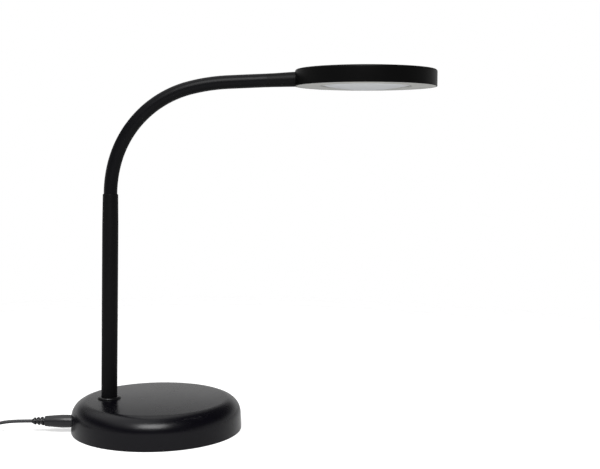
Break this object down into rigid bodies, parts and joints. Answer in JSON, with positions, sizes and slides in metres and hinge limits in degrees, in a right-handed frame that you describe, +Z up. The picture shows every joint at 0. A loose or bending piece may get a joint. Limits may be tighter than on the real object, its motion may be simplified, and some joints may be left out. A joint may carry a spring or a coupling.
{
  "type": "gooseneck desk lamp",
  "caption": "Desk lamp with a weighted round base, an upright tube, a bendable gooseneck and a flat round LED head with a domed lens.",
  "frame": {"origin": "middle of the base's underside, on the table", "axes": "+Z up, +X from the post towards the head, +Y to the far side as seen in the picture"},
  "size_m": [0.4772, 0.152, 0.3224],
  "materials": {
    "base_black": "satin black moulding, a little glossy on top",
    "post_black": "satin black powder coat",
    "neck_black": "matt black sleeve",
    "head_black": "satin black moulding",
    "key_black": "satin black key",
    "ring_grey": "matt light grey moulding",
    "lens_frost": "frosted acrylic, smooth outside",
    "plate_black": "black painted sheet steel",
    "pad_foam": "dense black foam",
    "weight_iron": "rough cast, painted grey",
    "zinc_steel": "zinc plated",
    "nickel": "bright nickel plate",
    "pin_brass": "turned brass",
    "socket_black": "black moulding",
    "lead_black": "soft black lead sheath",
    "plug_black": "satin black moulded rubber",
    "lead_inner": "thin flat twin lead",
    "tie_black": "flat black band",
    "heat_alu": "plain sheet",
    "board_white": "white circuit board",
    "board_green": "green circuit board",
    "chip_yellow": "phosphor face",
    "switch_body": "small moulded switch",
    "adapter_black": "fine grained black moulding",
    "transformer_tape": "yellow tape over a ferrite core"
  },
  "bodies": {
    "lamp_base": {"base_shell": "base_black", "base_pad": "pad_foam", "base_plate": "plate_black", "plate_screws": "zinc_steel", "base_weight": "weight_iron", "weight_screws": "zinc_steel", "dc_socket": "socket_black", "socket_pin": "pin_brass", "post_collar": "post_black", "post_tube": "post_black", "post_stud": "zinc_steel", "post_washer": "zinc_steel", "post_nut": "zinc_steel", "base_lead": "lead_inner", "post_lead": "lead_inner", "neck_lower_end": "neck_black", "dc_plug": "plug_black", "plug_barrel": "nickel", "lead_run": "lead_black", "lead_coil": "lead_black", "lead_tail": "lead_black", "coil_tie": "tie_black", "adapter_boot": "plug_black", "adapter_case": "adapter_black", "adapter_lid": "adapter_black", "adapter_pins": "nickel", "adapter_board": "board_green", "adapter_transformer": "transformer_tape"},
    "neck_01": {"neck_link_01": "neck_black"},
    "neck_02": {"neck_link_02": "neck_black"},
    "neck_03": {"neck_link_03": "neck_black"},
    "neck_04": {"neck_link_04": "neck_black"},
    "neck_05": {"neck_link_05": "neck_black"},
    "neck_06": {"neck_link_06": "neck_black"},
    "neck_07": {"neck_link_07": "neck_black"},
    "neck_08": {"neck_link_08": "neck_black"},
    "neck_09": {"neck_link_09": "neck_black"},
    "neck_10": {"neck_link_10": "neck_black"},
    "neck_11": {"neck_link_11": "neck_black"},
    "head": {"head_ferrule": "post_black", "ferrule_clip": "zinc_steel", "head_shell": "head_black", "light_ring": "ring_grey", "dome_lens": "lens_frost", "led_board": "board_white", "led_chips": "chip_yellow", "heat_plate": "heat_alu", "heat_plate_screws": "zinc_steel", "switch_board": "board_green", "push_switch": "switch_body", "head_lead": "lead_inner", "led_lead": "lead_inner"},
    "key": {"switch_key": "key_black"}
  },
  "joints": [
    {"name": "neck_nod_1", "type": "hinge", "parent": "lamp_base", "child": "neck_01", "pos_m": [-0.03935, 0, 0.21856], "axis": [0, 1, 0], "range_deg": [-16, 16]},
    {"name": "neck_sway_1", "type": "hinge", "parent": "neck_01", "child": "neck_02", "pos_m": [-0.03671, 0, 0.23541], "axis": [0.9734, 0, -0.2292], "range_deg": [-16, 16]},
    {"name": "neck_nod_2", "type": "hinge", "parent": "neck_02", "child": "neck_03", "pos_m": [-0.03137, 0, 0.25161], "axis": [0, 1, 0], "range_deg": [-16, 16]},
    {"name": "neck_sway_2", "type": "hinge", "parent": "neck_03", "child": "neck_04", "pos_m": [-0.02325, 0, 0.2666], "axis": [0.8323, 0, -0.5543], "range_deg": [-16, 16]},
    {"name": "neck_nod_3", "type": "hinge", "parent": "neck_04", "child": "neck_05", "pos_m": [-0.01255, 0, 0.27987], "axis": [0, 1, 0], "range_deg": [-16, 16]},
    {"name": "neck_sway_3", "type": "hinge", "parent": "neck_05", "child": "neck_06", "pos_m": [0.00038, 0, 0.29099], "axis": [0.5803, 0, -0.8144], "range_deg": [-16, 16]},
    {"name": "neck_nod_4", "type": "hinge", "parent": "neck_06", "child": "neck_07", "pos_m": [0.0151, 0, 0.29958], "axis": [0, 1, 0], "range_deg": [-16, 16]},
    {"name": "neck_sway_4", "type": "hinge", "parent": "neck_07", "child": "neck_08", "pos_m": [0.03114, 0, 0.30536], "axis": [0.2522, 0, -0.9677], "range_deg": [-16, 16]},
    {"name": "neck_nod_5", "type": "hinge", "parent": "neck_08", "child": "neck_09", "pos_m": [0.04786, 0, 0.3088], "axis": [0, 1, 0], "range_deg": [-16, 16]},
    {"name": "neck_sway_5", "type": "hinge", "parent": "neck_09", "child": "neck_10", "pos_m": [0.06484, 0, 0.31052], "axis": [0.0514, 0, -0.9987], "range_deg": [-16, 16]},
    {"name": "neck_nod_6", "type": "hinge", "parent": "neck_10", "child": "neck_11", "pos_m": [0.08189, 0, 0.31133], "axis": [0, 1, 0], "range_deg": [-16, 16]},
    {"name": "neck_sway_6", "type": "hinge", "parent": "neck_11", "child": "head", "pos_m": [0.09895, 0, 0.31208], "axis": [0.0436, 0, -0.999], "range_deg": [-16, 16]},
    {"name": "key_press", "type": "slide", "parent": "head", "child": "key", "axis": [0, 0, -1], "range_m": [0, 0.0008], "stiffness_N_per_m": 800, "springref_m": -0.0005}
  ]
}
